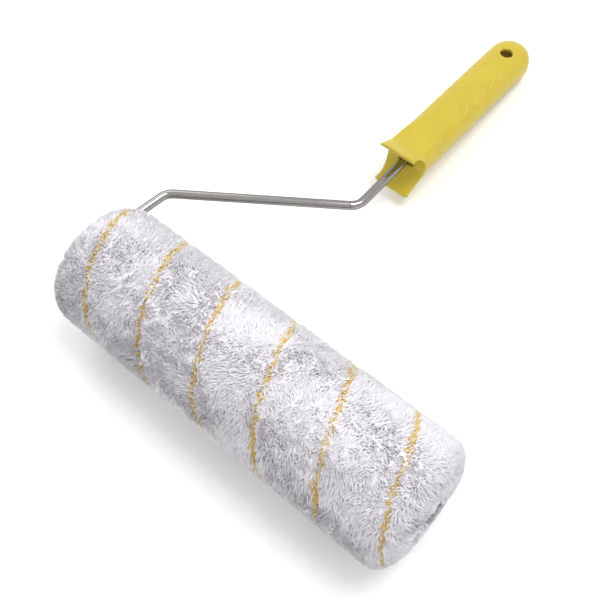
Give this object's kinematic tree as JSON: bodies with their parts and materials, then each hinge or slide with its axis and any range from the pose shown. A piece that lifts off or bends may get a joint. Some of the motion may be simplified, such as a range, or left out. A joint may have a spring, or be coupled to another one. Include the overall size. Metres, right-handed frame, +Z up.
{
  "type": "paint roller",
  "caption": "Hand paint roller: long-pile striped cover that spins on a wire cage and pulls off, on a bent steel wire frame with a moulded handle.",
  "frame": {"origin": "the middle of the tool's footprint, on the surface that it lies on", "axes": "+X along the axle towards its free end, +Y from the cover towards the handle, +Z up from the table; the plane of the wire frame leans down by 4.58 degrees towards the handle's end"},
  "size_m": [0.2666, 0.3692, 0.085],
  "materials": {
    "frame_steel": "bright plated",
    "handle_plastic": "satin",
    "cap_plastic": "satin",
    "bearing_plastic": "gloss",
    "small_steel": "satin",
    "spring_steel": "satin",
    "core_plastic": "satin",
    "pile": "matte"
  },
  "bodies": {
    "frame": {"frame_rod": "frame_steel", "handle_body": "handle_plastic", "axle_stop_collar": "small_steel", "inner_thrust_washer": "bearing_plastic", "outer_thrust_washer": "bearing_plastic", "push_on_retainer": "spring_steel"},
    "cage": {"inner_end_cap": "cap_plastic", "inner_bush": "bearing_plastic", "cage_wire_1": "small_steel", "cage_wire_2": "small_steel", "cage_wire_3": "small_steel", "cage_wire_4": "small_steel", "cage_wire_5": "small_steel", "inner_spider": "cap_plastic", "outer_spider": "cap_plastic", "outer_end_cap": "cap_plastic", "outer_bush": "bearing_plastic", "dust_plug": "cap_plastic"},
    "cover": {"cover_core": "core_plastic", "pile_fabric": "pile"}
  },
  "joints": [
    {"name": "roller_spin", "type": "hinge", "parent": "frame", "child": "cage", "pos_m": [0.00532, -0.14208, 0.0425], "axis": [1, 0, 0], "continuous": true},
    {"name": "cover_pull", "type": "slide", "parent": "cage", "child": "cover", "axis": [1, 0, 0], "range_m": [0, 0.27]}
  ]
}
